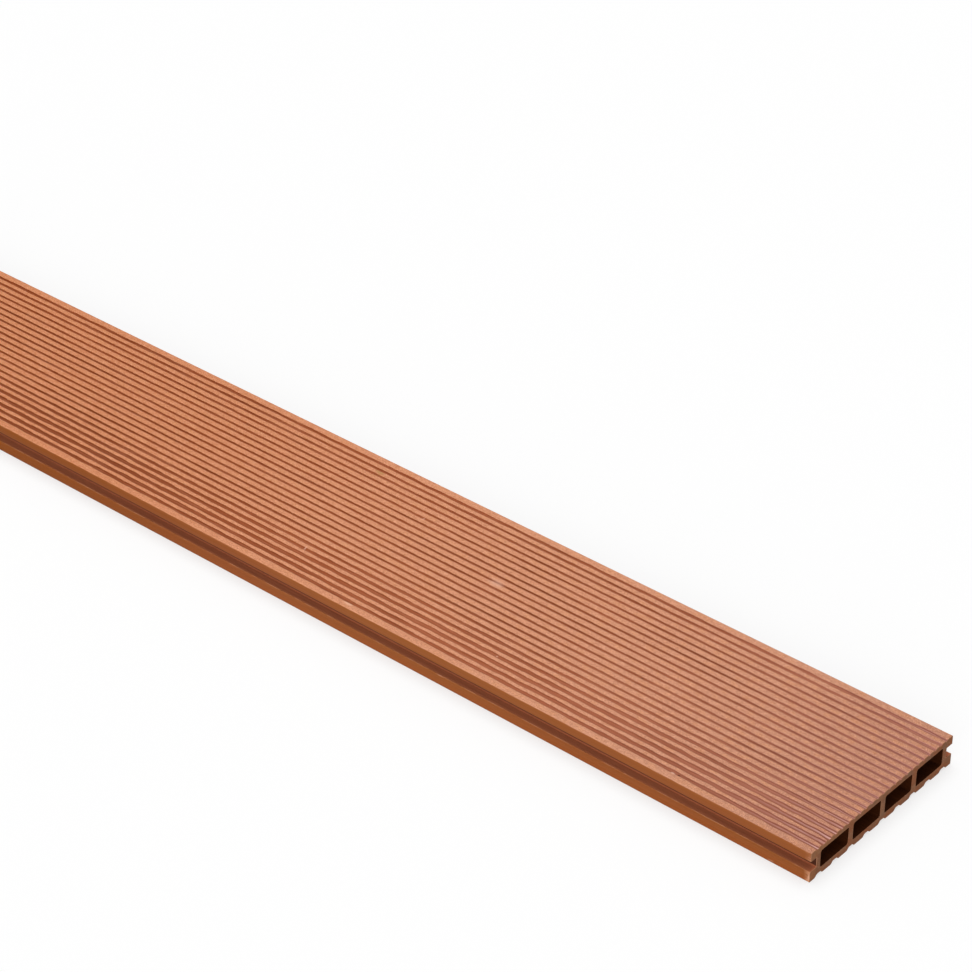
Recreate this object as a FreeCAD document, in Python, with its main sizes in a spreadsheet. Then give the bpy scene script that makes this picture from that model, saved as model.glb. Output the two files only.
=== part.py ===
"""A hollow decking board of wood-plastic composite, drawn as one extruded section, in millimetres.

The board lies on its underside. +X runs along its length, +Y across it and +Z up, and the origin is the
middle of the underside. The section has a ribbed walking face, a row of hollow chambers, a slot along each
side for the tongue of a hidden clip, and shallow flutes underneath that let water drain away.
"""
import FreeCAD, Part
import enum
import math
import os
import Sketcher

NODE = "deck_board"

# Driving dimensions: the cell's alias, its value and what it measures
DIMENSIONS = (
    ("board_length", "2200", "length between the two sawn ends"),
    ("board_width", "146", "width over the lips"),
    ("board_thickness", "22", "height from the feet to the walking face"),
    ("lower_lip", "8", "height of the lip under the side slot"),
    ("slot_height", "7.5", "mouth of the side slot"),
    ("slot_depth", "6", "depth of the side slot"),
    ("lip_radius", "0.8", "rounding along the outer corners of the lips"),
    ("chamber_count", "4", "hollow chambers side by side"),
    ("side_wall", "4", "wall between a side slot and the outer chamber"),
    ("web_wall", "4.6", "wall between two chambers"),
    ("top_skin", "4", "thickness over the chambers, ribs included"),
    ("bottom_skin", "5", "thickness under the chambers, feet included"),
    ("chamber_radius", "1.5", "rounding in the corners of a chamber"),
    ("groove_pitch", "6", "spacing of the grooves in the walking face"),
    ("groove_mouth", "2.4", "width of a groove at the walking face"),
    ("groove_bed", "1.8", "width of a groove at its bed"),
    ("groove_depth", "0.8", "depth of a groove"),
    ("groove_edge", "5.5", "least plain strip between the outer groove and the board's edge"),
    ("flute_pitch", "16", "spacing of the flutes in the underside"),
    ("flute_mouth", "6", "width of a flute at the underside"),
    ("flute_bed", "5", "width of a flute at its bed"),
    ("flute_depth", "2", "depth of a flute"),
    ("flute_edge", "5", "least foot between the outer flute and the board's edge"),
)

# Sizes that follow from the driving ones: the cell's alias and its formula
DERIVED = (
    ("chamber_span", "=board_width - 2 * (slot_depth + side_wall)"),
    ("chamber_width", "=(chamber_span - (chamber_count - 1) * web_wall) / chamber_count"),
    ("chamber_pitch", "=chamber_width + web_wall"),
    ("chamber_height", "=board_thickness - top_skin - bottom_skin"),
    ("groove_count", "=floor((board_width - 2 * groove_edge - groove_mouth) / groove_pitch) + 1"),
    ("groove_reach", "=(groove_count - 1) * groove_pitch / 2"),
    ("flute_count", "=floor((board_width - 2 * flute_edge - flute_mouth) / flute_pitch) + 1"),
    ("flute_reach", "=(flute_count - 1) * flute_pitch / 2"),
)


class Ref(enum.IntEnum):
    """How a sketch numbers its two axes, and the two ends of an edge."""

    H_AXIS = -1
    V_AXIS = -2
    START = 1
    END = 2


ORIGIN = (Ref.H_AXIS, Ref.START)

# Largest share by which a cut's volume may miss its section times the board's length
CUT_TOLERANCE = 1e-4

CUBIC_MM_TO_LITRES = 1e-6


def make_sheet(doc):
    """The spreadsheet that holds every size under its alias."""
    sheet = doc.addObject("Spreadsheet::Sheet", "Sizes")
    for row, (alias, value, meaning) in enumerate(DIMENSIONS, start=1):
        sheet.set(f"A{row}", alias)
        sheet.set(f"B{row}", value)
        sheet.set(f"C{row}", meaning)
        sheet.setAlias(f"B{row}", alias)
    for row, (alias, formula) in enumerate(DERIVED, start=len(DIMENSIONS) + 1):
        sheet.set(f"A{row}", alias)
        sheet.set(f"B{row}", formula)
        sheet.setAlias(f"B{row}", alias)
    doc.recompute()
    return sheet


def section_sketch(body, name):
    """An empty sketch across the middle of the board, with +Y to the right and +Z up."""
    plane = next(item for item in body.Origin.OriginFeatures if item.Role == "YZ_Plane")
    sketch = body.newObject("Sketcher::SketchObject", name)
    sketch.AttachmentSupport = [(plane, "")]
    sketch.MapMode = "FlatFace"
    return sketch


def constrain(sketch, kind, *where):
    """Adds one constraint to a sketch and gives its number."""
    return sketch.addConstraint(Sketcher.Constraint(kind, *where))


def bind(sketch, name, formula, kind, *where):
    """Adds a named dimension to a sketch and ties it to a formula of the sheet's sizes."""
    index = constrain(sketch, kind, *where, float(sketch.evalExpression(formula)))
    sketch.renameConstraint(index, name)
    sketch.setExpression(f"Constraints.{name}", formula)


def add_polygon(sketch, corners):
    """Adds a closed run of straight edges through (y, z) corners, each joined to the next."""
    points = [FreeCAD.Vector(y, z, 0) for y, z in corners]
    for here, there in zip(points, points[1:] + points[:1]):
        sketch.addGeometry(Part.LineSegment(here, there))
    for edge in range(len(points)):
        constrain(sketch, "Coincident", edge, Ref.END, (edge + 1) % len(points), Ref.START)


def draw_outline(body, sheet):
    """The outside of the section: a flat rectangle with a square slot in each side.

    The edges run counter-clockwise: 0 is the underside, 1 to 5 go up the right side and round its slot,
    6 is the walking face, and 7 to 11 come down the left side.
    """
    sketch = section_sketch(body, "section_outline")
    half = sheet.board_width / 2
    back = half - sheet.slot_depth
    top = sheet.board_thickness
    floor = sheet.lower_lip
    roof = floor + sheet.slot_height
    right = [(half, 0), (half, floor), (back, floor), (back, roof), (half, roof), (half, top)]
    left = [(-y, z) for y, z in reversed(right)]
    add_polygon(sketch, left[-1:] + right + left[:-1])
    for edge in (2, 4, 6, 8, 10):
        constrain(sketch, "Horizontal", edge)
    for edge in (1, 3, 5, 7, 9, 11):
        constrain(sketch, "Vertical", edge)
    constrain(sketch, "Symmetric", 0, Ref.START, 0, Ref.END, Ref.V_AXIS)
    constrain(sketch, "PointOnObject", 0, Ref.START, Ref.H_AXIS)
    bind(sketch, "width", "Sizes.board_width", "DistanceX", 0, Ref.START, 0, Ref.END)
    bind(sketch, "thickness", "Sizes.board_thickness", "DistanceY", 0, Ref.END, 5, Ref.END)
    bind(sketch, "lip", "Sizes.lower_lip", "DistanceY", 1, Ref.START, 1, Ref.END)
    bind(sketch, "slot_depth", "Sizes.slot_depth", "DistanceX", 2, Ref.END, 2, Ref.START)
    bind(sketch, "slot_height", "Sizes.slot_height", "DistanceY", 3, Ref.START, 3, Ref.END)
    for edge, like in ((4, 2), (11, 1), (10, 2), (9, 3), (8, 4)):
        constrain(sketch, "Equal", like, edge)
    return sketch


def draw_chamber(body, sheet):
    """The chamber nearest the -Y side: a rectangle whose corners are quarter circles.

    Edges 0 to 3 are its floor, right wall, ceiling and left wall, and 4 to 7 the arcs that follow them.
    """
    sketch = section_sketch(body, "chamber_section")
    radius = sheet.chamber_radius
    left = -sheet.chamber_span / 2
    right = left + sheet.chamber_width
    floor = sheet.bottom_skin
    ceiling = floor + sheet.chamber_height
    inner_left = left + radius
    inner_right = right - radius
    inner_floor = floor + radius
    inner_ceiling = ceiling - radius
    runs = (
        ((inner_left, floor), (inner_right, floor)),
        ((right, inner_floor), (right, inner_ceiling)),
        ((inner_right, ceiling), (inner_left, ceiling)),
        ((left, inner_ceiling), (left, inner_floor)),
    )
    for start, end in runs:
        sketch.addGeometry(Part.LineSegment(FreeCAD.Vector(*start, 0), FreeCAD.Vector(*end, 0)))
    centres = (
        (inner_right, inner_floor),
        (inner_right, inner_ceiling),
        (inner_left, inner_ceiling),
        (inner_left, inner_floor),
    )
    quarter = math.pi / 2
    facing = FreeCAD.Vector(0, 0, 1)
    for turn, centre in enumerate(centres):
        circle = Part.Circle(FreeCAD.Vector(*centre, 0), facing, radius)
        sketch.addGeometry(Part.ArcOfCircle(circle, (turn - 1) * quarter, turn * quarter))
    for edge in range(4):
        constrain(sketch, "Tangent", edge, Ref.END, edge + 4, Ref.START)
        constrain(sketch, "Tangent", edge + 4, Ref.END, (edge + 1) % 4, Ref.START)
    for edge in (0, 2):
        constrain(sketch, "Horizontal", edge)
    for edge in (1, 3):
        constrain(sketch, "Vertical", edge)
    for arc in (5, 6, 7):
        constrain(sketch, "Equal", 4, arc)
    bind(sketch, "radius", "Sizes.chamber_radius", "Radius", 4)
    bind(sketch, "width", "Sizes.chamber_width", "DistanceX", 3, Ref.END, 1, Ref.START)
    bind(sketch, "height", "Sizes.chamber_height", "DistanceY", 0, Ref.START, 2, Ref.END)
    bind(sketch, "from_middle", "Sizes.chamber_span / 2", "DistanceX", 3, Ref.END, *ORIGIN)
    bind(sketch, "from_feet", "Sizes.bottom_skin", "DistanceY", *ORIGIN, 0, Ref.START)
    return sketch


def draw_channel(body, sheet, name, face, inwards):
    """The groove or flute nearest the -Y side: a channel in a flat face, narrower at its bed.

    face is the height of the cut face, and inwards is 1 where the channel goes up from it and -1 where it
    goes down. Edge 0 lies in the face, edge 2 is the bed, and the two flanks are equally long.
    """
    sketch = section_sketch(body, f"{name}_section")
    middle = -getattr(sheet, f"{name}_reach")
    mouth = getattr(sheet, f"{name}_mouth") / 2
    bed = getattr(sheet, f"{name}_bed") / 2
    depth = face + inwards * getattr(sheet, f"{name}_depth")
    in_face = [(middle - mouth, face), (middle + mouth, face)]
    at_bed = [(middle + bed, depth), (middle - bed, depth)]
    add_polygon(sketch, in_face + at_bed)
    constrain(sketch, "Horizontal", 0)
    constrain(sketch, "Horizontal", 2)
    constrain(sketch, "Equal", 1, 3)
    low, high = (Ref.START, Ref.END) if inwards > 0 else (Ref.END, Ref.START)
    bind(sketch, "mouth", f"Sizes.{name}_mouth", "DistanceX", 0, Ref.START, 0, Ref.END)
    bind(sketch, "bed", f"Sizes.{name}_bed", "DistanceX", 2, Ref.END, 2, Ref.START)
    bind(sketch, "depth", f"Sizes.{name}_depth", "DistanceY", 1, low, 1, high)
    bind(sketch, "reach", f"Sizes.{name}_reach + Sizes.{name}_mouth / 2", "DistanceX", 0, Ref.START, *ORIGIN)
    return sketch


def draw_groove(body, sheet):
    """The first groove of the walking face."""
    sketch = draw_channel(body, sheet, "groove", sheet.board_thickness, -1)
    bind(sketch, "face", "Sizes.board_thickness", "DistanceY", *ORIGIN, 0, Ref.START)
    return sketch


def draw_flute(body, sheet):
    """The first flute of the underside."""
    sketch = draw_channel(body, sheet, "flute", 0.0, 1)
    constrain(sketch, "PointOnObject", 0, Ref.START, Ref.H_AXIS)
    return sketch


def extrude(body, sketch):
    """The board's stock: its outline carried equally far both ways along the length."""
    stock = body.newObject("PartDesign::Pad", "stock")
    stock.Profile = sketch
    stock.SideType = "Symmetric"
    stock.setExpression("Length", "Sizes.board_length")
    return stock


def round_lips(body, sheet, stock):
    """Rounds the long outer corners of the four lips."""
    half = sheet.board_width / 2
    corners = [
        f"Edge{number}"
        for number, edge in enumerate(stock.Shape.Edges, start=1)
        if all(math.isclose(abs(vertex.Y), half) for vertex in edge.Vertexes)
        and math.isclose(edge.Length, sheet.board_length)
    ]
    rounding = body.newObject("PartDesign::Fillet", "lip_rounding")
    rounding.Base = (stock, corners)
    rounding.setExpression("Radius", "Sizes.lip_radius")
    return rounding


def cut_row(body, sketch, name):
    """Cuts the sketch right through the board and repeats the cut across the width."""
    cut = body.newObject("PartDesign::Pocket", f"{name}_cut")
    cut.Profile = sketch
    cut.Type = "ThroughAll"
    cut.SideType = "Symmetric"
    row = body.newObject("PartDesign::LinearPattern", f"{name}_row")
    row.Originals = [cut]
    row.Direction = (sketch, ["H_Axis"])
    row.Mode = "Spacing"
    row.setExpression("Offset", f"Sizes.{name}_pitch")
    row.setExpression("Occurrences", f"Sizes.{name}_count")
    body.Tip = row
    return row


def check_cut(sheet, name, sketch, before, after):
    """Stops the build unless a row of cuts took its section times the count and the length."""
    section = Part.Face(sketch.Shape.Wires[0]).Area
    expected = section * sheet.board_length * getattr(sheet, f"{name}_count")
    removed = before.Shape.Volume - after.Shape.Volume
    if not math.isclose(removed, expected, rel_tol=CUT_TOLERANCE):
        raise RuntimeError(f"the {name} cuts took {removed:.0f} mm3, not {expected:.0f} mm3")


def check_objects(doc):
    """Stops the build if any object of the document failed."""
    for item in doc.Objects:
        if "Invalid" in item.State or "Error" in item.State:
            raise RuntimeError(f"{item.Label} failed: {item.State}")


def build_board(doc, sheet):
    """The whole board as one body: stock, rounded lips, chambers, flutes and grooves in that order."""
    body = doc.addObject("PartDesign::Body", NODE)
    body.Label = NODE
    stock = extrude(body, draw_outline(body, sheet))
    doc.recompute()
    last = round_lips(body, sheet, stock)
    doc.recompute()
    for name, draw in (("chamber", draw_chamber), ("flute", draw_flute), ("groove", draw_groove)):
        sketch = draw(body, sheet)
        row = cut_row(body, sketch, name)
        doc.recompute()
        check_cut(sheet, name, sketch, last, row)
        last = row
    return body


def main():
    """Builds the document, checks it and writes the board's solid."""
    doc = FreeCAD.newDocument("decking_board")
    sheet = make_sheet(doc)
    board = build_board(doc, sheet)
    check_objects(doc)
    shape = board.Shape
    if shape.isNull() or not shape.isValid() or len(shape.Solids) != 1:
        raise RuntimeError(f"{board.Label} is not one valid solid")
    os.makedirs("parts", exist_ok=True)
    shape.exportStep(f"parts/{board.Label}.step")
    box = shape.BoundBox
    litres = shape.Volume * CUBIC_MM_TO_LITRES
    print(f"{board.Label}: {box.XLength:.1f} x {box.YLength:.1f} x {box.ZLength:.1f} mm, {litres:.3f} litres")


main()
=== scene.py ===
"""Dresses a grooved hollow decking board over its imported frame, in metres in the part frame.

+X runs along the board, with the near end at the highest X, -Y is the front side and +Z is up.
The board is one closed surface: the outer line of its section and the lines of its chambers are
carried along the length, and the sawn ends close them. A blank paper label lies on the walking
face at the far end.
"""

import logging
import math
from dataclasses import dataclass, field
from enum import IntEnum

import bpy
import numpy as np
from mathutils import Matrix, Vector
from mathutils.geometry import delaunay_2d_cdt


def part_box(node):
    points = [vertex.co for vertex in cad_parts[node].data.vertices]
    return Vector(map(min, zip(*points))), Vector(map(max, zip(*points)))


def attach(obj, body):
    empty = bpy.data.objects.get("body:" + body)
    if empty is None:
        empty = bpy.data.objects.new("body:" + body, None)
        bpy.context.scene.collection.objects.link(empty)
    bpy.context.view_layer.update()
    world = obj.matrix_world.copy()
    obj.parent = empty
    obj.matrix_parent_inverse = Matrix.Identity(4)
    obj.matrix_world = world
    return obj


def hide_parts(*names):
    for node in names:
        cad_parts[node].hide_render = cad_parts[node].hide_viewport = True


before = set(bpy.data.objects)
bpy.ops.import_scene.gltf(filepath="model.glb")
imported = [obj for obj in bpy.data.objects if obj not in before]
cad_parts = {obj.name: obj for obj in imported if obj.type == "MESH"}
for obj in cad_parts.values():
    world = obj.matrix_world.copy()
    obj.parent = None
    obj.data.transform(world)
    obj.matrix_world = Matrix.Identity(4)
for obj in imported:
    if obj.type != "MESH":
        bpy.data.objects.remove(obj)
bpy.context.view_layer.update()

MM = 0.001
CAD_NODE = "deck_board"
BODY = "root"
SHARP_ANGLE = math.radians(32.0)
WAVE_CHANGE = (0.75, 1.33)
MITRE_FLOOR = 0.4
EDGE_KEPT = 0.4
FILL_INSIDE = 1
FILL_NEARNESS = 1e-9
PICTURE_PIXELS = 972
LOG = logging.getLogger("decking_board")

Array = np.ndarray
Colour = tuple[float, float, float, float]
Socket = bpy.types.NodeSocket
Value = Socket | float | tuple[float, ...]


class Zone(IntEnum):
    """The finishes that the board's faces take, numbered as its material slots."""

    WALKING_FACE = 0
    EXTRUDED_SKIN = 1
    SAWN_END = 2
    CHAMBER = 3
    MILLED_SLOT = 4


def shade(red: int, green: int, blue: int) -> Colour:
    """A linear colour from its display values.

    Args:
        red: display red, from 0 to 255.
        green: display green, from 0 to 255.
        blue: display blue, from 0 to 255.

    Returns:
        The linear red, green and blue, with a full alpha: each value over 255 goes through the
        display curve.
    """
    display = np.array([red, green, blue]) / 255.0
    linear = np.where(display <= 0.04045, display / 12.92, ((display + 0.055) / 1.055) ** 2.4)
    return (float(linear[0]), float(linear[1]), float(linear[2]), 1.0)


def arc(centre: tuple[float, float], radius: float, start: float, end: float, count: int) -> Array:
    """Points of a circular arc.

    Each is the centre plus the radius times the cosine and sine of one of evenly spaced angles.

    Args:
        centre: the arc's centre in (Y, Z).
        radius: its radius.
        start: the first angle in degrees, from +Y towards +Z.
        end: the last angle in degrees.
        count: how many points, both ends included.

    Returns:
        The points, as count rows of (Y, Z).
    """
    angles = np.radians(np.linspace(start, end, count))
    return np.array(centre) + radius * np.stack([np.cos(angles), np.sin(angles)], axis=1)


def inset(line: Array, distance: float) -> Array:
    """A closed line moved into the material that lies on its left.

    Each point goes back along the mitre of its two edges: the sum of their right-hand unit normals
    over one plus the dot product of the two. Where that would turn a short edge round, its two
    points go only as far as leaves the kept share of its length.

    Args:
        line: the points in order, as rows of (Y, Z).
        distance: how far the edges move.

    Returns:
        The moved points, in the same order.
    """
    edge = np.roll(line, -1, axis=0) - line
    length = np.linalg.norm(edge, axis=1)
    ahead = edge / length[:, None]
    normal = np.stack([ahead[:, 1], -ahead[:, 0]], axis=1)
    before = np.roll(normal, 1, axis=0)
    spread = np.clip(1.0 + (normal * before).sum(axis=1), MITRE_FLOOR, None)
    mitre = (normal + before) / spread[:, None]
    shrink = ((np.roll(mitre, -1, axis=0) - mitre) * ahead).sum(axis=1)
    lost = (1.0 - EDGE_KEPT) * length
    room = lost / np.maximum(shrink, lost / distance)
    step = np.minimum(room, np.roll(room, 1))
    return line - step[:, None] * mitre


def wander(
    along: Array, lanes: int, waves: tuple[float, ...], random: np.random.Generator
) -> Array:
    """Smooth chance wander with a spread of about one, one lane beside the other.

    Each lane is a sum of sines of the place along the board. Their wavelengths are the given ones,
    changed by up to a third, their phases are chance, and the sum is divided by the root of half
    their number.

    Args:
        along: places along the board.
        lanes: how many lanes.
        waves: the sines' wavelengths.
        random: the seeded source of chance.

    Returns:
        One row per place and one column per lane.
    """
    size = (len(waves), lanes)
    length = np.array(waves)[:, None] * random.uniform(*WAVE_CHANGE, size)
    phase = random.uniform(0.0, 2.0 * math.pi, size)
    sines = np.sin(2.0 * math.pi * along[:, None, None] / length + phase)
    return sines.sum(axis=1) / math.sqrt(len(waves) / 2.0)


def carried_faces(rows: int, columns: int, first: int) -> Array:
    """Four-cornered faces of a closed line carried through rows, facing right of the line's run.

    Args:
        rows: how many places the line is carried through.
        columns: how many points the line has.
        first: the number of the first point.

    Returns:
        The point numbers of each face, row by row.
    """
    row = first + columns * np.arange(rows - 1)[:, None]
    here = np.arange(columns)[None, :]
    after = (here + 1) % columns
    corners = [row + here, row + after, row + columns + after, row + columns + here]
    return np.stack(corners, axis=-1).reshape(-1, 4)


def make_mesh(name: str, points: Array, quads: Array, triangles: Array) -> bpy.types.Mesh:
    """A smooth mesh, with its sharp edges marked, from arrays of points and faces.

    Args:
        name: the mesh's name.
        points: rows of (X, Y, Z).
        quads: rows of four point numbers.
        triangles: rows of three point numbers, which come after the quads.

    Returns:
        The new mesh.
    """
    mesh = bpy.data.meshes.new(name)
    corners = np.concatenate([quads.ravel(), triangles.ravel()])
    sizes = np.concatenate([np.full(len(quads), 4), np.full(len(triangles), 3)])
    starts = np.concatenate([[0], np.cumsum(sizes)[:-1]])
    mesh.vertices.add(len(points))
    mesh.vertices.foreach_set("co", points.astype(np.float32).ravel())
    mesh.loops.add(len(corners))
    mesh.loops.foreach_set("vertex_index", corners.astype(np.int32))
    mesh.polygons.add(len(sizes))
    mesh.polygons.foreach_set("loop_start", starts.astype(np.int32))
    mesh.polygons.foreach_set("use_smooth", np.ones(len(sizes), bool))
    mesh.update(calc_edges=True)
    mesh.validate()
    mesh.set_sharp_from_angle(angle=SHARP_ANGLE)
    return mesh


def show(name: str, mesh: bpy.types.Mesh) -> bpy.types.Object:
    """Puts a mesh in the scene as an object at the origin.

    Args:
        name: the object's name.
        mesh: the mesh.

    Returns:
        The object.
    """
    shown = bpy.data.objects.new(name, mesh)
    bpy.context.scene.collection.objects.link(shown)
    return shown


def keep_values(mesh: bpy.types.Mesh, name: str, values: Array) -> None:
    """Keeps one number per point on a mesh, for its material to read.

    Args:
        mesh: the mesh.
        name: the attribute's name.
        values: the numbers, in the order of the points.
    """
    attribute = mesh.attributes.new(name, "FLOAT", "POINT")
    attribute.data.foreach_set("value", values.astype(np.float32).ravel())


class Wiring:
    """A node tree that is being wired: it places nodes and joins or sets their sockets."""

    def __init__(self, tree: bpy.types.NodeTree) -> None:
        """Takes the tree to wire."""
        self.tree = tree

    def place(self, kind: str, **settings: object) -> bpy.types.Node:
        """A new node.

        Args:
            kind: the node's type.
            settings: the node's own properties.

        Returns:
            The node.
        """
        node = self.tree.nodes.new(kind)
        for name, value in settings.items():
            setattr(node, name, value)
        return node

    def feed(self, socket: Socket, value: Value) -> None:
        """Joins a socket to another, or sets it to a plain value.

        Args:
            socket: the input to feed.
            value: an output socket, a number or numbers.
        """
        if isinstance(value, bpy.types.NodeSocket):
            self.tree.links.new(value, socket)
        else:
            socket.default_value = value

    def math(self, operation: str, first: Value, second: Value = 0.0) -> Socket:
        """A sum on two numbers.

        Args:
            operation: Blender's name of the sum.
            first: the first number.
            second: the second number.

        Returns:
            The result's socket.
        """
        node = self.place("ShaderNodeMath", operation=operation)
        self.feed(node.inputs[0], first)
        self.feed(node.inputs[1], second)
        return node.outputs[0]

    def vector(self, operation: str, first: Value, second: Value) -> Socket:
        """A sum on two vectors.

        Args:
            operation: Blender's name of the sum.
            first: the first vector.
            second: the second vector.

        Returns:
            The resulting vector's socket.
        """
        node = self.place("ShaderNodeVectorMath", operation=operation)
        self.feed(node.inputs[0], first)
        self.feed(node.inputs[1], second)
        return node.outputs["Vector"]

    def ramp(
        self, value: Value, low: float, high: float, start: float = 0.0, end: float = 1.0
    ) -> Socket:
        """A number that goes smoothly from start to end as the value goes from low to high.

        Args:
            value: the number to follow.
            low: where the change begins.
            high: where it ends.
            start: the result at low and below.
            end: the result at high and above.

        Returns:
            The result's socket.
        """
        node = self.place("ShaderNodeMapRange", interpolation_type="SMOOTHSTEP")
        names = ("Value", "From Min", "From Max", "To Min", "To Max")
        for name, given in zip(names, (value, low, high, start, end), strict=True):
            self.feed(node.inputs[name], given)
        return node.outputs["Result"]

    def blend(self, share: Value, first: Value, second: Value) -> Socket:
        """A colour mixed from two.

        Args:
            share: the second colour's share.
            first: the first colour.
            second: the second colour.

        Returns:
            The mixed colour's socket.
        """
        node = self.place("ShaderNodeMix", data_type="RGBA")
        self.feed(node.inputs[0], share)
        self.feed(node.inputs[6], first)
        self.feed(node.inputs[7], second)
        return node.outputs[2]

    def layer(self, under: Value, colour: Colour, share: Value, strength: float) -> Socket:
        """A colour laid over another, by a share times a strength."""
        return self.blend(self.math("MULTIPLY", share, strength), under, colour)

    def tint(self, under: Value, colour: Colour, value: Value, *span: float) -> Socket:
        """A colour laid over another, by a ramp's answer to a value over the given span."""
        return self.blend(self.ramp(value, *span), under, colour)

    def average(self, first: Value, second: Value, share: float) -> Socket:
        """Two numbers averaged, the first one with the given share."""
        rest = self.math("MULTIPLY", second, 1.0 - share)
        return self.math("ADD", self.math("MULTIPLY", first, share), rest)

    def noise(self, place: Value, detail: float, roughness: float) -> Socket:
        """Noise of one cycle per unit at a place.

        Args:
            place: the place in the pattern.
            detail: how many finer layers there are.
            roughness: how strong they are.

        Returns:
            The noise's socket, about 0.5 in the mean.
        """
        node = self.place("ShaderNodeTexNoise")
        self.feed(node.inputs["Vector"], place)
        self.feed(node.inputs["Scale"], 1.0)
        self.feed(node.inputs["Detail"], detail)
        self.feed(node.inputs["Roughness"], roughness)
        return node.outputs[0]

    def value_of(self, attribute: str) -> Socket:
        """The number that the mesh keeps under a name."""
        return self.place("ShaderNodeAttribute", attribute_name=attribute).outputs["Fac"]

    def own_place(self) -> Socket:
        """The place on the object, in metres."""
        return self.place("ShaderNodeTexCoord").outputs["Object"]

    def own_axis(self, axis: str) -> Socket:
        """The place on the object along X, Y or Z, in metres."""
        parts = self.place("ShaderNodeSeparateXYZ")
        self.feed(parts.inputs[0], self.own_place())
        return parts.outputs[axis]

    def triple(self, x: Value, y: Value, z: Value) -> Socket:
        """A vector from three numbers."""
        node = self.place("ShaderNodeCombineXYZ")
        for socket, value in zip(node.inputs, (x, y, z), strict=True):
            self.feed(socket, value)
        return node.outputs[0]

    def bump(self, height: Value, distance: float) -> Socket:
        """A normal from a height.

        Args:
            height: the height, from 0 to 1.
            distance: how far a height of 1 stands up, in metres.

        Returns:
            The normal's socket.
        """
        node = self.place("ShaderNodeBump")
        self.feed(node.inputs["Strength"], 1.0)
        self.feed(node.inputs["Distance"], distance)
        self.feed(node.inputs["Height"], height)
        return node.outputs["Normal"]


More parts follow.
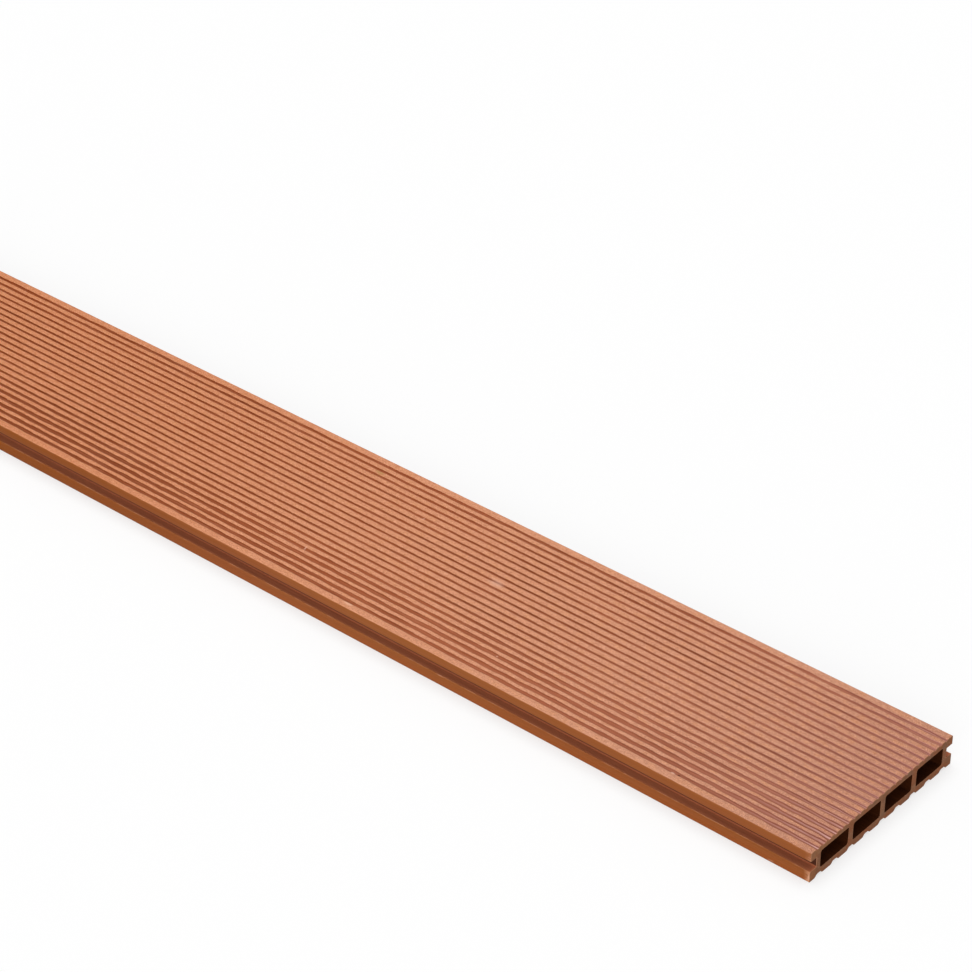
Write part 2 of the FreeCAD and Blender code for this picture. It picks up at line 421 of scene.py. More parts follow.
class EffectLibrary:
    """The surface effects that the finishes share, each one a node group that is built once."""

    def __init__(self) -> None:
        """Builds every effect."""
        self.groups = {
            "marks": self.build_marks(),
            "flecks": self.build_flecks(),
            "tone": self.build_tone(),
            "end_fade": self.build_end_fade(),
            "scuff": self.build_scuff(),
        }

    def start(
        self, name: str, numbers: dict[str, float], vectors: tuple[str, ...], output: str
    ) -> tuple[Wiring, bpy.types.Node, Socket]:
        """Opens a new group with its named sockets.

        Args:
            name: the group's name.
            numbers: its number inputs with their usual values.
            vectors: its vector inputs.
            output: its one output, a number over the surface.

        Returns:
            The wiring, the node with the inputs, and the socket that takes the result.
        """
        tree = bpy.data.node_groups.new(name, "ShaderNodeTree")
        for label, usual in numbers.items():
            socket = tree.interface.new_socket(label, in_out="INPUT", socket_type="NodeSocketFloat")
            socket.default_value = usual
        for label in vectors:
            tree.interface.new_socket(label, in_out="INPUT", socket_type="NodeSocketVector")
        tree.interface.new_socket(output, in_out="OUTPUT", socket_type="NodeSocketFloat")
        wiring = Wiring(tree)
        return wiring, wiring.place("NodeGroupInput"), wiring.place("NodeGroupOutput").inputs[0]

    def spread(self, wiring: Wiring, given: bpy.types.Node, per_x: Socket, per_yz: Socket) -> Socket:
        """The place in a pattern: the place on the object in cells, moved by the seed.

        Args:
            wiring: the group's wiring.
            given: the node with the group's inputs.
            per_x: cells per metre in X.
            per_yz: cells per metre in Y and Z.

        Returns:
            The place's socket.
        """
        cells = wiring.triple(per_x, per_yz, per_yz)
        seed = given.outputs["Seed"]
        scaled = wiring.vector("MULTIPLY", wiring.own_place(), cells)
        return wiring.vector("ADD", scaled, wiring.triple(seed, seed, seed))

    def build_marks(self) -> bpy.types.NodeTree:
        """Drawn-out marks: noise whose cells are Along long in X and Across wide in Y and Z."""
        wiring, given, result = self.start(
            "drawn_marks", {"Along": 0.01, "Across": 0.001, "Seed": 0.0}, (), "Marks"
        )
        per_x = wiring.math("DIVIDE", 1.0, given.outputs["Along"])
        per_yz = wiring.math("DIVIDE", 1.0, given.outputs["Across"])
        noise = wiring.noise(self.spread(wiring, given, per_x, per_yz), detail=3.0, roughness=0.6)
        wiring.feed(result, wiring.ramp(noise, 0.3, 0.7))
        return wiring.tree

    def build_flecks(self) -> bpy.types.NodeTree:
        """Round flecks: in a share of cells of the given size, a spot at the cell's chance middle."""
        wiring, given, result = self.start(
            "wood_flecks", {"Size": 0.002, "Share": 0.2, "Seed": 0.0}, (), "Flecks"
        )
        per_metre = wiring.math("DIVIDE", 1.0, given.outputs["Size"])
        cells = wiring.place("ShaderNodeTexVoronoi")
        wiring.feed(cells.inputs["Vector"], self.spread(wiring, given, per_metre, per_metre))
        wiring.feed(cells.inputs["Scale"], 1.0)
        chance = wiring.place("ShaderNodeSeparateColor")
        wiring.feed(chance.inputs[0], cells.outputs["Color"])
        chosen = wiring.math("LESS_THAN", chance.outputs[0], given.outputs["Share"])
        spot = wiring.ramp(cells.outputs["Distance"], 0.15, 0.4, 1.0, 0.0)
        wiring.feed(result, wiring.math("MULTIPLY", chosen, spot))
        return wiring.tree

    def build_tone(self) -> bpy.types.NodeTree:
        """Slow change of tone: soft noise of the given size, drawn out Stretch times in X."""
        wiring, given, result = self.start(
            "slow_tone", {"Size": 0.05, "Stretch": 3.0, "Seed": 0.0}, (), "Tone"
        )
        per_metre = wiring.math("DIVIDE", 1.0, given.outputs["Size"])
        per_x = wiring.math("DIVIDE", per_metre, given.outputs["Stretch"])
        noise = wiring.noise(self.spread(wiring, given, per_x, per_metre), detail=2.0, roughness=0.5)
        wiring.feed(result, wiring.ramp(noise, 0.25, 0.75))
        return wiring.tree

    def build_end_fade(self) -> bpy.types.NodeTree:
        """Nearness to a sawn end: 1 at the end, falling by a factor e with every Reach from it."""
        wiring, given, result = self.start(
            "end_fade", {"Half Length": 1.1, "Reach": 0.3}, (), "Fade"
        )
        away = wiring.math("ABSOLUTE", wiring.own_axis("X"))
        inwards = wiring.math("SUBTRACT", away, given.outputs["Half Length"])
        fall = wiring.math("DIVIDE", inwards, given.outputs["Reach"])
        wiring.feed(result, wiring.math("EXPONENT", fall))
        return wiring.tree

    def build_scuff(self) -> bpy.types.NodeTree:
        """One ragged mark: full within Radii of Centre, with the distance roughened by fine noise."""
        wiring, given, result = self.start("scuff", {"Seed": 0.0}, ("Centre", "Radii"), "Mark")
        away = wiring.vector("SUBTRACT", wiring.own_place(), given.outputs["Centre"])
        scaled = wiring.vector("DIVIDE", away, given.outputs["Radii"])
        length = wiring.place("ShaderNodeVectorMath", operation="LENGTH")
        wiring.feed(length.inputs[0], scaled)
        seed = given.outputs["Seed"]
        moved = wiring.vector("ADD", scaled, wiring.triple(seed, seed, seed))
        rough = wiring.math("MULTIPLY", wiring.noise(moved, detail=3.0, roughness=0.7), 1.2)
        distance = wiring.math("ADD", length.outputs["Value"], rough)
        wiring.feed(result, wiring.ramp(distance, 0.9, 1.6, 1.0, 0.0))
        return wiring.tree

    def put(self, wiring: Wiring, name: str, **inputs: Value) -> Socket:
        """Places an effect in a material.

        Args:
            wiring: the material's wiring.
            name: the effect's name.
            inputs: its inputs, with their spaces left out of the names.

        Returns:
            The effect's output.
        """
        node = wiring.place("ShaderNodeGroup", node_tree=self.groups[name])
        for socket in node.inputs:
            label = socket.name.replace(" ", "")
            if label in inputs:
                wiring.feed(socket, inputs[label])
        return node.outputs[0]


def open_material(name: str) -> tuple[bpy.types.Material, Wiring, bpy.types.Node]:
    """A new material with its shader.

    Args:
        name: the material's name.

    Returns:
        The material, its wiring and its Principled BSDF.
    """
    material = bpy.data.materials.new(name)
    material.use_nodes = True
    shader = material.node_tree.nodes["Principled BSDF"]
    return material, Wiring(material.node_tree), shader


@dataclass(frozen=True)
class Scuff:
    """A small mark on the board: its middle, its half sizes, and its colour and strength."""

    middle: tuple[float, float, float]
    half_sizes: tuple[float, float, float]
    colour: Colour
    strength: float

    def paint(self, wiring: Wiring, effects: EffectLibrary, under: Socket) -> Socket:
        """Lays the mark over a colour.

        Args:
            wiring: the material's wiring.
            effects: the shared effects.
            under: the colour under the mark.

        Returns:
            The colour with the mark.
        """
        seed = 37.0 * (self.middle[0] + 3.0 * self.middle[1])
        mark = effects.put(wiring, "scuff", Seed=seed, Centre=self.middle, Radii=self.half_sizes)
        return wiring.layer(under, self.colour, mark, self.strength)


@dataclass(frozen=True)
class WalkingFaceFinish:
    """Brushed ridges, paler than the skin, over grooves that keep the extruded skin, with painted
    sheen and shade along the length.
    """

    half_length: float
    ridge: Colour = shade(219, 135, 83)
    # Painted sheen: ridges paler and pinker towards the sawn ends.
    ridge_sheen: Colour = shade(229, 172, 141)
    # Painted shade with a little sheen: ridges darker and mauver near the sawn ends.
    ridge_end_shade: Colour = shade(185, 130, 106)
    # Painted shade: ridges darker away from the sawn ends.
    ridge_middle_shade: Colour = shade(207, 126, 78)
    grain_pale: Colour = shade(242, 180, 148)
    grain_dark: Colour = shade(174, 106, 76)
    warm: Colour = shade(222, 152, 98)
    fleck: Colour = shade(150, 84, 56)
    bed: Colour = shade(143, 64, 15)
    # Painted sheen: beds paler towards the sawn ends.
    bed_sheen: Colour = shade(189, 112, 77)
    # Painted sheen: beds mauver near the sawn ends.
    bed_end: Colour = shade(163, 104, 88)
    bed_dark: Colour = shade(124, 61, 33)
    bed_pale: Colour = shade(192, 128, 98)
    # Painted sheen: pale streaks in the wide beds near the sawn ends.
    bed_streak_sheen: Colour = shade(220, 172, 164)
    # Painted sheen: paler groove flanks near the sawn ends.
    flank_sheen: Colour = shade(198, 140, 132)
    fade_reaches: tuple[float, ...] = (0.45, 0.16, 0.07, 0.028, 0.3)
    scuffs: tuple[Scuff, ...] = (
        Scuff((0.9930, -0.0668, 0.022), (0.0034, 0.0012, 0.002), shade(250, 208, 184), 1.0),
        Scuff((0.9971, -0.0661, 0.022), (0.0013, 0.0009, 0.002), shade(58, 27, 16), 1.0),
        Scuff((0.9205, -0.0059, 0.022), (0.0016, 0.0008, 0.002), shade(84, 40, 24), 1.0),
        Scuff((0.6993, 0.0351, 0.022), (0.0008, 0.0022, 0.002), shade(244, 194, 166), 0.7),
        Scuff((0.6629, -0.0413, 0.022), (0.0008, 0.0024, 0.002), shade(244, 194, 166), 0.6),
        Scuff((0.8370, -0.0479, 0.022), (0.0010, 0.0012, 0.002), shade(244, 198, 172), 0.7),
        Scuff((0.7277, -0.0687, 0.022), (0.0045, 0.0016, 0.002), shade(242, 188, 156), 0.8),
        Scuff((0.7855, 0.0106, 0.022), (0.0100, 0.0050, 0.002), shade(232, 182, 158), 0.5),
        Scuff((0.6395, 0.0573, 0.022), (0.0060, 0.0030, 0.002), shade(176, 138, 78), 0.5),
    )

    def make(self, effects: EffectLibrary) -> bpy.types.Material:
        """The material.

        Args:
            effects: the shared effects.

        Returns:
            The material, which reads the mesh's brushed share and the place across a groove's bed.
        """
        material, wiring, shader = open_material("brushed_walking_face")
        fibre = effects.put(wiring, "marks", Along=0.005, Across=0.0006, Seed=3.1)
        grain = effects.put(wiring, "marks", Along=0.00045, Across=0.0005, Seed=8.4)
        hue = effects.put(wiring, "tone", Size=0.005, Stretch=1.6, Seed=12.5)
        tone = effects.put(wiring, "tone", Size=0.03, Stretch=3.0, Seed=1.7)
        flecks = effects.put(wiring, "flecks", Size=0.0018, Share=0.14, Seed=5.2)
        streaks = effects.put(wiring, "marks", Along=0.03, Across=0.0009, Seed=14.8)
        sheen_fade, near, close, last, far = (
            effects.put(wiring, "end_fade", HalfLength=self.half_length, Reach=reach)
            for reach in self.fade_reaches
        )
        # Painted shade away from the sawn ends, full beyond about 0.7 m from both.
        inner = wiring.ramp(far, 0.09, 0.25, 0.5, 0.0)

        share = wiring.value_of("brushed")
        ragged = wiring.math("MULTIPLY", wiring.math("SUBTRACT", grain, 0.5), 0.2)
        torn = wiring.math("MULTIPLY", wiring.math("SUBTRACT", fibre, 0.5), 0.25)
        edge = wiring.math("ADD", share, wiring.math("ADD", ragged, torn))
        brushed = wiring.ramp(edge, 0.38, 0.62)
        across = wiring.own_axis("Y")
        front = wiring.ramp(across, -0.05, 0.01, 1.0, 0.3)
        rear = wiring.ramp(across, 0.056, 0.066, 0.0, 0.6)
        wide = wiring.math("MAXIMUM", front, rear)
        middle = wiring.value_of("bed")

        # Painted sheen: ridges paler and pinker within about half a metre of each sawn end.
        ridge = wiring.blend(sheen_fade, self.ridge, self.ridge_sheen)
        # Painted shade with a little sheen: ridges darker and mauver within about 15 cm of each sawn
        # end.
        ridge = wiring.blend(near, ridge, self.ridge_end_shade)
        # Painted shade: ridges darker away from the sawn ends.
        ridge = wiring.blend(inner, ridge, self.ridge_middle_shade)
        ridge = wiring.tint(ridge, self.warm, hue, 0.4, 1.0, 0.0, 0.35)
        ridge = wiring.tint(ridge, self.grain_pale, grain, 0.5, 1.0, 0.0, 0.7)
        ridge = wiring.tint(ridge, self.grain_dark, grain, 0.0, 0.5, 0.7, 0.0)
        ridge = wiring.tint(ridge, self.grain_dark, fibre, 0.5, 1.0, 0.0, 0.25)
        ridge = wiring.tint(ridge, self.grain_pale, fibre, 0.0, 0.5, 0.2, 0.0)
        ridge = wiring.layer(ridge, self.fleck, flecks, 0.3)
        # Painted sheen: beds paler within about half a metre of each sawn end.
        bed = wiring.blend(sheen_fade, self.bed, self.bed_sheen)
        # Painted sheen: beds paler and mauver within about 15 cm of each sawn end.
        bed = wiring.blend(near, bed, self.bed_end)
        # Painted shade: front beds darker away from the sawn ends.
        bed = wiring.blend(wiring.math("MULTIPLY", inner, front), bed, self.bed_dark)
        bed = wiring.tint(bed, self.bed_dark, tone, 0.3, 1.0, 0.0, 0.35)
        bed = wiring.tint(bed, self.bed_dark, grain, 0.4, 1.0, 0.0, 0.2)
        bed = wiring.tint(bed, self.bed_dark, streaks, 0.5, 1.0, 0.0, 0.3)
        bed = wiring.tint(bed, self.bed_pale, streaks, 0.0, 0.5, 0.25, 0.0)
        # Painted shade: near the sawn ends the wide grooves' sides darken, all but the bed's lowest
        # line.
        line = wiring.math("MULTIPLY", close, wiring.ramp(middle, 0.1, 0.5, 0.5, 0.0))
        bed = wiring.blend(wiring.math("MULTIPLY", line, wide), bed, self.bed_dark)
        # Painted sheen: pale streaks along the wide beds' lowest line within a few centimetres of
        # each sawn end.
        streak_sheen = wiring.math("MULTIPLY", last, wiring.ramp(streaks, 0.2, 0.7, 0.35, 1.0))
        streak_sheen = wiring.math("MULTIPLY", streak_sheen, wiring.ramp(middle, 0.4, 0.85))
        bed = wiring.blend(wiring.math("MULTIPLY", streak_sheen, wide), bed, self.bed_streak_sheen)
        colour = wiring.blend(brushed, bed, ridge)
        # Painted sheen: groove flanks paler within several centimetres of each sawn end, less in the
        # wide grooves.
        below = wiring.ramp(share, 0.6, 0.95, 1.0, 0.0)
        flank = wiring.math("MULTIPLY", wiring.ramp(share, 0.05, 0.4), below)
        flank = wiring.math("MULTIPLY", flank, wiring.math("MULTIPLY", close, 0.7))
        flank = wiring.math("MULTIPLY", flank, wiring.ramp(wide, 0.3, 1.0, 1.0, 0.6))
        colour = wiring.blend(flank, colour, self.flank_sheen)
        for scuff in self.scuffs:
            colour = scuff.paint(wiring, effects, colour)
        wiring.feed(shader.inputs["Base Color"], colour)
        wiring.feed(shader.inputs["Roughness"], wiring.ramp(brushed, 0.0, 1.0, 0.55, 0.85))
        shader.inputs["Specular IOR Level"].default_value = 0.07
        relief = wiring.average(fibre, grain, 0.4)
        relief = wiring.math("MULTIPLY", relief, wiring.ramp(brushed, 0.0, 1.0, 0.3, 1.0))
        wiring.feed(shader.inputs["Normal"], wiring.bump(relief, 0.0001))
        return material


@dataclass(frozen=True)
class ExtrudedSkinFinish:
    """Smooth, saturated skin with lines that the die drew along it, paler worn corners and painted
    shade along the length.
    """

    half_length: float
    skin: Colour = shade(171, 98, 47)
    skin_dark: Colour = shade(153, 85, 36)
    skin_red: Colour = shade(162, 83, 46)
    skin_foot: Colour = shade(178, 92, 34)
    # Painted shade: skin darker away from the sawn ends.
    skin_middle_shade: Colour = shade(152, 79, 22)
    worn: Colour = shade(214, 150, 112)
    chips: tuple[Scuff, ...] = (
        Scuff((1.0992, -0.0730, 0.0030), (0.0010, 0.0020, 0.0042), shade(236, 178, 144), 0.9),
        Scuff((1.0986, -0.0730, 0.0012), (0.0020, 0.0020, 0.0018), shade(222, 160, 122), 0.8),
        Scuff((1.0988, -0.0726, 0.0180), (0.0012, 0.0020, 0.0030), shade(186, 120, 84), 0.4),
        Scuff((1.0720, -0.0730, 0.0012), (0.0030, 0.0020, 0.0008), shade(204, 140, 104), 0.6),
        Scuff((0.8110, -0.0730, 0.0076), (0.0040, 0.0020, 0.0007), shade(198, 136, 104), 0.6),
    )

    def make(self, effects: EffectLibrary) -> bpy.types.Material:
        """The material.

        Args:
            effects: the shared effects.

        Returns:
            The material, which reads the mesh's rim share.
        """
        material, wiring, shader = open_material("extruded_skin")
        lines = effects.put(wiring, "marks", Along=0.5, Across=0.0009, Seed=2.3)
        fine = effects.put(wiring, "marks", Along=0.02, Across=0.0003, Seed=6.1)
        tone = effects.put(wiring, "tone", Size=0.012, Stretch=12.0, Seed=4.4)
        worn = effects.put(wiring, "marks", Along=0.012, Across=0.002, Seed=9.3)
        skin = wiring.layer(self.skin, self.skin_dark, lines, 0.7)
        skin = wiring.layer(skin, self.skin_red, tone, 0.5)
        skin = wiring.layer(skin, self.skin_dark, fine, 0.2)
        # Painted shade: skin darker within a few centimetres of each sawn end.
        end_shade = effects.put(wiring, "end_fade", HalfLength=self.half_length, Reach=0.06)
        inner = effects.put(wiring, "end_fade", HalfLength=self.half_length, Reach=0.3)
        skin = wiring.layer(skin, self.skin_dark, end_shade, 0.3)
        up = wiring.own_axis("Z")
        skin = wiring.tint(skin, self.skin_foot, up, 0.001, 0.006, 0.5, 0.0)
        # Painted shade: skin darker away from the sawn ends, full beyond about 0.7 m from both.
        skin = wiring.tint(skin, self.skin_middle_shade, inner, 0.09, 0.25, 0.95, 0.0)
        rim = wiring.math("MULTIPLY", wiring.value_of("rim"), wiring.ramp(worn, 0.3, 0.9, 0.2, 1.0))
        skin = wiring.blend(rim, skin, self.worn)
        for chip in self.chips:
            skin = chip.paint(wiring, effects, skin)
        wiring.feed(shader.inputs["Base Color"], skin)
        wiring.feed(shader.inputs["Roughness"], wiring.ramp(lines, 0.0, 1.0, 0.45, 0.6))
        shader.inputs["Specular IOR Level"].default_value = 0.12
        relief = wiring.average(lines, fine, 0.6)
        wiring.feed(shader.inputs["Normal"], wiring.bump(relief, 0.00003))
        return material


@dataclass(frozen=True)
class SawnEndFinish:
    """Dull sawn wood flour and plastic, in patches, with saw marks, flecks and a paler torn rim."""

    cut: Colour = shade(152, 104, 74)
    cut_dark: Colour = shade(124, 82, 55)
    cut_red: Colour = shade(150, 88, 54)
    cut_grey: Colour = shade(138, 104, 82)
    # Paler tone for the front of the end's upper part and for the lips.
    cut_front_pale: Colour = shade(172, 114, 71)
    rim: Colour = shade(186, 130, 98)
    fleck: Colour = shade(184, 138, 106)

    def make(self, effects: EffectLibrary) -> bpy.types.Material:
        """The material.

        Args:
            effects: the shared effects.

        Returns:
            The material, which reads the mesh's rim share.
        """
        material, wiring, shader = open_material("sawn_end")
        saw = effects.put(wiring, "marks", Along=0.02, Across=0.0011, Seed=7.7)
        tone = effects.put(wiring, "tone", Size=0.006, Stretch=1.0, Seed=2.9)
        flecks = effects.put(wiring, "flecks", Size=0.0013, Share=0.3, Seed=1.2)
        red = effects.put(wiring, "tone", Size=0.011, Stretch=1.0, Seed=8.8)
        grey = effects.put(wiring, "tone", Size=0.008, Stretch=1.0, Seed=20.3)
        cut = wiring.layer(self.cut, self.cut_dark, tone, 0.7)
        cut = wiring.tint(cut, self.cut_red, red, 0.35, 0.8, 0.0, 0.8)
        cut = wiring.tint(cut, self.cut_grey, grey, 0.5, 0.9, 0.0, 0.6)
        across = wiring.own_axis("Y")
        up = wiring.own_axis("Z")
        cut = wiring.tint(cut, self.cut_red, up, 0.002, 0.006, 0.45, 0.0)
        # Paler towards the front of the end's upper part and on the lips.
        toward_front = wiring.ramp(across, -0.055, -0.032, 0.5, 0.0)
        upper = wiring.math("MULTIPLY", wiring.ramp(up, 0.0165, 0.018), toward_front)
        lips = wiring.ramp(across, -0.068, -0.0665, 0.5, 0.0)
        cut = wiring.blend(wiring.math("MAXIMUM", upper, lips), cut, self.cut_front_pale)
        cut = wiring.layer(cut, self.cut_dark, saw, 0.35)
        cut = wiring.layer(cut, self.fleck, flecks, 0.4)
        rim = wiring.math("MULTIPLY", wiring.value_of("rim"), wiring.ramp(tone, 0.0, 1.0, 0.9, 0.5))
        wiring.feed(shader.inputs["Base Color"], wiring.blend(rim, cut, self.rim))
        shader.inputs["Roughness"].default_value = 0.85
        shader.inputs["Specular IOR Level"].default_value = 0.2
        relief = wiring.average(saw, flecks, 0.6)
        wiring.feed(shader.inputs["Normal"], wiring.bump(relief, 0.0001))
        return material


@dataclass(frozen=True)
class MilledSlotFinish:
    """The clip slots' walls: duller and redder than the skin, with the upper lip's shadow painted on
    the back wall.
    """

    wall: Colour = shade(193, 114, 77)
    wall_dark: Colour = shade(168, 92, 61)
    # Painted shadow of the upper lip on the slot's back wall, and the heights where it begins and
    # ends.
    lip_shadow: Colour = shade(66, 32, 17)
    floor_level: float = 8.0 * MM
    shadow_from: float = 8.7 * MM
    shadow_to: float = 9.2 * MM

    def make(self, effects: EffectLibrary) -> bpy.types.Material:
        """The material.

        Args:
            effects: the shared effects.

        Returns:
            The material.
        """
        material, wiring, shader = open_material("milled_slot")
        lines = effects.put(wiring, "marks", Along=0.12, Across=0.0011, Seed=15.2)
        tone = effects.put(wiring, "tone", Size=0.02, Stretch=8.0, Seed=9.9)
        wall = wiring.layer(self.wall, self.wall_dark, lines, 0.6)
        wall = wiring.layer(wall, self.wall_dark, tone, 0.4)
        up = wiring.own_axis("Z")
        # Painted shade and shadow: the wall darkens a little from the slot floor up, then almost to
        # black under the upper lip.
        shaded = wiring.ramp(up, self.floor_level, self.shadow_from, 0.0, 0.3)
        lip_shadow = wiring.ramp(up, self.shadow_from, self.shadow_to, 0.0, 0.95)
        lip_shadow = wiring.math("MAXIMUM", shaded, lip_shadow)
        wiring.feed(shader.inputs["Base Color"], wiring.blend(lip_shadow, wall, self.lip_shadow))
        shader.inputs["Roughness"].default_value = 0.75
        shader.inputs["Specular IOR Level"].default_value = 0.15
        wiring.feed(shader.inputs["Normal"], wiring.bump(lines, 0.00004))
        return material


@dataclass(frozen=True)
class ChamberFinish:
    """The chambers' inside walls, painted far darker than the skin as their shade, with the die's
    lines along them.
    """

    # Painted shade: far darker than the skin, standing in for the shade inside the chambers.
    wall: Colour = shade(62, 28, 9)
    wall_dark: Colour = shade(42, 18, 6)

    def make(self, effects: EffectLibrary) -> bpy.types.Material:
        """The material.

        Args:
            effects: the shared effects.

        Returns:
            The material.
        """
        material, wiring, shader = open_material("chamber_painted_shade")
        lines = effects.put(wiring, "marks", Along=0.3, Across=0.0015, Seed=11.3)
        tone = effects.put(wiring, "tone", Size=0.01, Stretch=6.0, Seed=3.9)
        wall = wiring.layer(self.wall, self.wall_dark, lines, 0.6)
        wiring.feed(shader.inputs["Base Color"], wiring.layer(wall, self.wall_dark, tone, 0.4))
        shader.inputs["Roughness"].default_value = 0.8
        shader.inputs["Specular IOR Level"].default_value = 0.02
        wiring.feed(shader.inputs["Normal"], wiring.bump(lines, 0.00004))
        return material


@dataclass(frozen=True)
class LabelPaperFinish:
    """Matt label paper with soft fibre and a faint grey tone, and nothing printed."""

    paper: Colour = shade(232, 231, 226)
    paper_grey: Colour = shade(214, 212, 206)

    def make(self, effects: EffectLibrary) -> bpy.types.Material:
        """The material.

        Args:
            effects: the shared effects.

        Returns:
            The material.
        """
        material, wiring, shader = open_material("label_paper")
        fibre = effects.put(wiring, "marks", Along=0.0022, Across=0.0006, Seed=1.9)
        tone = effects.put(wiring, "tone", Size=0.02, Stretch=1.0, Seed=6.6)
        paper = wiring.layer(self.paper, self.paper_grey, fibre, 0.35)
        paper = wiring.layer(paper, self.paper_grey, tone, 0.4)
        wiring.feed(shader.inputs["Base Color"], paper)
        shader.inputs["Roughness"].default_value = 0.7
        shader.inputs["Specular IOR Level"].default_value = 0.3
        wiring.feed(shader.inputs["Normal"], wiring.bump(fibre, 0.00002))
        return material


